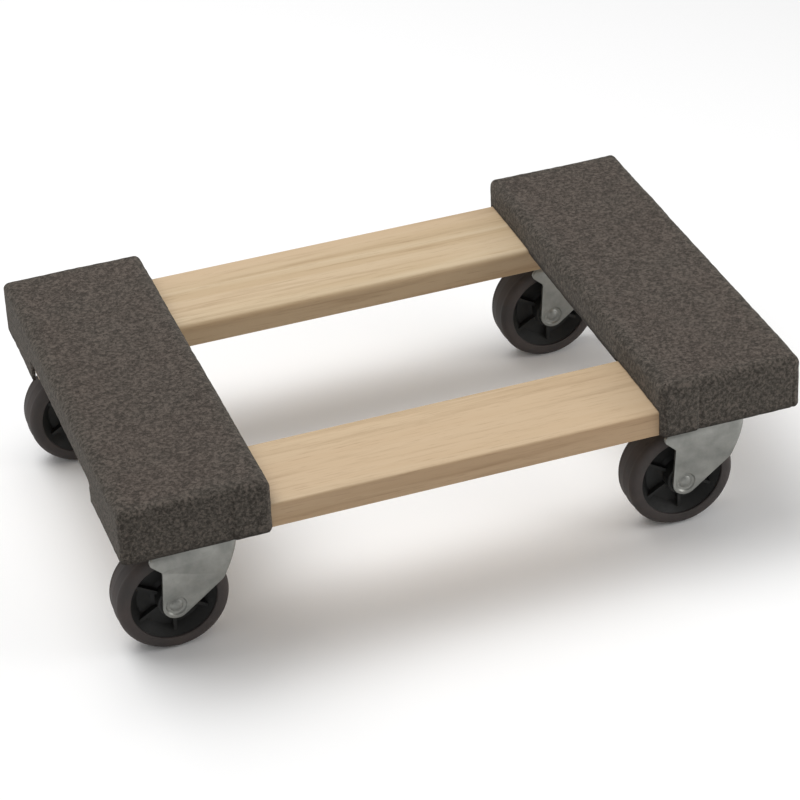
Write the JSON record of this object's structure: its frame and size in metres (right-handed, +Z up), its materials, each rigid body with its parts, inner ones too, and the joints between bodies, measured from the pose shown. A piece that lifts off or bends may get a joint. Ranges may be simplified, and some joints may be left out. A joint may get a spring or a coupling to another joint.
{
  "type": "furniture dolly",
  "caption": "Low wooden furniture dolly: an open frame of two hardwood rails and two carpeted end boards on trailing swivel casters with rubber tyres.",
  "frame": {"origin": "on the floor, below the middle of the wooden deck", "axes": "+X along the rails with all casters trailing towards -X, +Y across the rails from front to back, +Z up"},
  "size_m": [0.46, 0.311, 0.127],
  "materials": {
    "rail_wood": "planed hardwood, unvarnished",
    "board_wood": "planed hardwood, under the carpet",
    "carpet": "needle-punched felt carpet, heathered",
    "screw_steel": "zinc plated",
    "bright_steel": "bright steel",
    "zinc_plate": "pressed steel, dull zinc plate",
    "wheel_plastic": "moulded, satin",
    "tyre_rubber": "moulded rubber, satin"
  },
  "bodies": {
    "deck": {"rail_front": "rail_wood", "rail_back": "rail_wood", "end_board_left": "board_wood", "end_board_right": "board_wood", "carpet_left": "carpet", "carpet_right": "carpet", "joint_screws_left": "screw_steel", "joint_screws_right": "screw_steel", "carpet_staples_left": "screw_steel", "carpet_staples_right": "screw_steel", "top_plate_front_left": "zinc_plate", "lag_screws_front_left": "screw_steel", "kingpin_front_left": "bright_steel", "upper_balls_front_left": "bright_steel", "lower_race_front_left": "zinc_plate", "top_plate_front_right": "zinc_plate", "lag_screws_front_right": "screw_steel", "kingpin_front_right": "bright_steel", "upper_balls_front_right": "bright_steel", "lower_race_front_right": "zinc_plate", "top_plate_back_left": "zinc_plate", "lag_screws_back_left": "screw_steel", "kingpin_back_left": "bright_steel", "upper_balls_back_left": "bright_steel", "lower_race_back_left": "zinc_plate", "top_plate_back_right": "zinc_plate", "lag_screws_back_right": "screw_steel", "kingpin_back_right": "bright_steel", "upper_balls_back_right": "bright_steel", "lower_race_back_right": "zinc_plate"},
    "caster_front_left": {"fork_front_left": "zinc_plate", "lower_balls_front_left": "bright_steel", "axle_front_left": "bright_steel", "axle_sleeve_front_left": "bright_steel"},
    "caster_front_right": {"fork_front_right": "zinc_plate", "lower_balls_front_right": "bright_steel", "axle_front_right": "bright_steel", "axle_sleeve_front_right": "bright_steel"},
    "caster_back_left": {"fork_back_left": "zinc_plate", "lower_balls_back_left": "bright_steel", "axle_back_left": "bright_steel", "axle_sleeve_back_left": "bright_steel"},
    "caster_back_right": {"fork_back_right": "zinc_plate", "lower_balls_back_right": "bright_steel", "axle_back_right": "bright_steel", "axle_sleeve_back_right": "bright_steel"},
    "wheel_front_left": {"wheel_core_front_left": "wheel_plastic", "tyre_front_left": "tyre_rubber"},
    "wheel_front_right": {"wheel_core_front_right": "wheel_plastic", "tyre_front_right": "tyre_rubber"},
    "wheel_back_left": {"wheel_core_back_left": "wheel_plastic", "tyre_back_left": "tyre_rubber"},
    "wheel_back_right": {"wheel_core_back_right": "wheel_plastic", "tyre_back_right": "tyre_rubber"}
  },
  "joints": [
    {"name": "swivel_front_left", "type": "hinge", "parent": "deck", "child": "caster_front_left", "pos_m": [-0.1755, -0.1185, 0.09], "axis": [0, 0, 1], "continuous": true},
    {"name": "roll_front_left", "type": "hinge", "parent": "caster_front_left", "child": "wheel_front_left", "pos_m": [-0.194, -0.1185, 0.0375], "axis": [0, 1, 0], "continuous": true},
    {"name": "swivel_front_right", "type": "hinge", "parent": "deck", "child": "caster_front_right", "pos_m": [0.1755, -0.1185, 0.09], "axis": [0, 0, 1], "continuous": true},
    {"name": "roll_front_right", "type": "hinge", "parent": "caster_front_right", "child": "wheel_front_right", "pos_m": [0.157, -0.1185, 0.0375], "axis": [0, 1, 0], "continuous": true},
    {"name": "swivel_back_left", "type": "hinge", "parent": "deck", "child": "caster_back_left", "pos_m": [-0.1755, 0.1185, 0.09], "axis": [0, 0, 1], "continuous": true},
    {"name": "roll_back_left", "type": "hinge", "parent": "caster_back_left", "child": "wheel_back_left", "pos_m": [-0.194, 0.1185, 0.0375], "axis": [0, 1, 0], "continuous": true},
    {"name": "swivel_back_right", "type": "hinge", "parent": "deck", "child": "caster_back_right", "pos_m": [0.1755, 0.1185, 0.09], "axis": [0, 0, 1], "continuous": true},
    {"name": "roll_back_right", "type": "hinge", "parent": "caster_back_right", "child": "wheel_back_right", "pos_m": [0.157, 0.1185, 0.0375], "axis": [0, 1, 0], "continuous": true}
  ]
}
